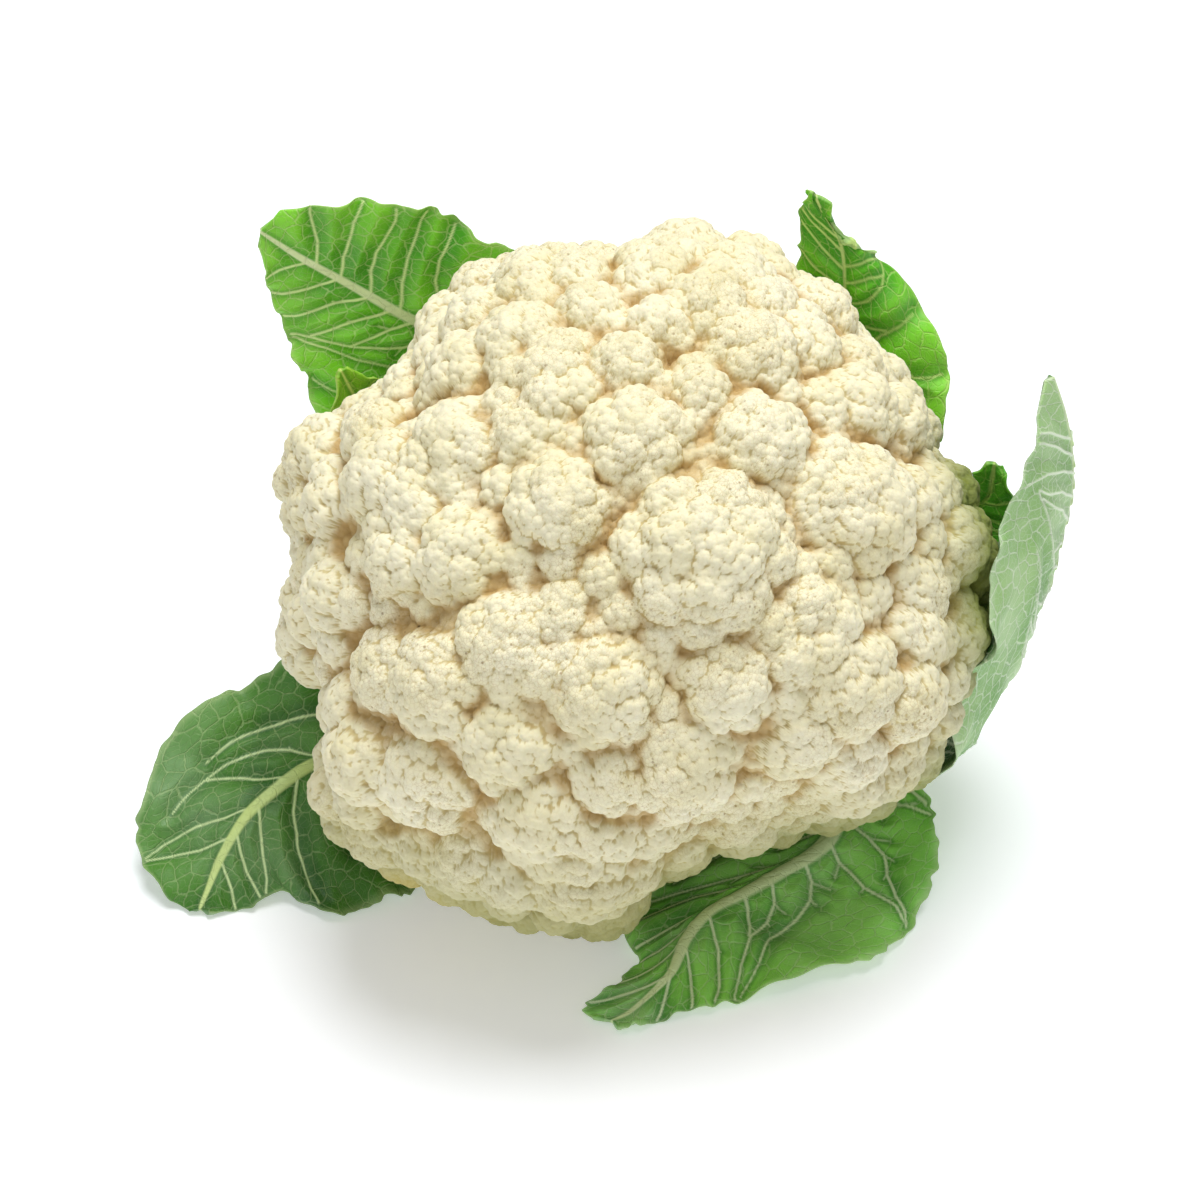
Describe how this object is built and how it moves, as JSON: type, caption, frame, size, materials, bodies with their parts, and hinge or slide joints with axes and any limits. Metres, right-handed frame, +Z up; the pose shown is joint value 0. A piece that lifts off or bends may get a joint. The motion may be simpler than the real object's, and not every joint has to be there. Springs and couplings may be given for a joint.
{
  "type": "cauliflower",
  "caption": "Whole cauliflower head with a lobed white curd, a cut stalk and green outer leaves, lying tipped back on its stalk.",
  "frame": {"origin": "on the ground under the middle of the whole head's bounding box", "axes": "+Z up; the curd's axis leans 40 degrees from +Z towards -Y, which is the side the crown of florets faces; +X to the right of a viewer in front"},
  "size_m": [0.2384, 0.184, 0.1661],
  "materials": {
    "curd": "matt, granular cream-white flower buds",
    "stalk": "smooth pale green skin, paler on the cut face",
    "leaf_blade": "waxy green blade with pale raised veins, paler underneath",
    "young_leaf": "fresh yellow-green blade with pale veins",
    "leaf_stump": "smooth pale green leaf stalk with a cut end"
  },
  "bodies": {
    "root": {"curd": "curd", "stalk": "stalk", "lower_left_leaf": "leaf_blade", "lower_right_leaf": "leaf_blade", "right_tall_leaf": "leaf_blade", "right_small_leaf": "leaf_blade", "upper_right_leaf": "leaf_blade", "upper_left_leaf": "leaf_blade", "upper_left_small_leaf": "young_leaf", "back_stump": "leaf_stump", "left_stump": "leaf_stump", "back_left_stump": "leaf_stump", "back_right_stump": "leaf_stump"}
  },
  "joints": []
}
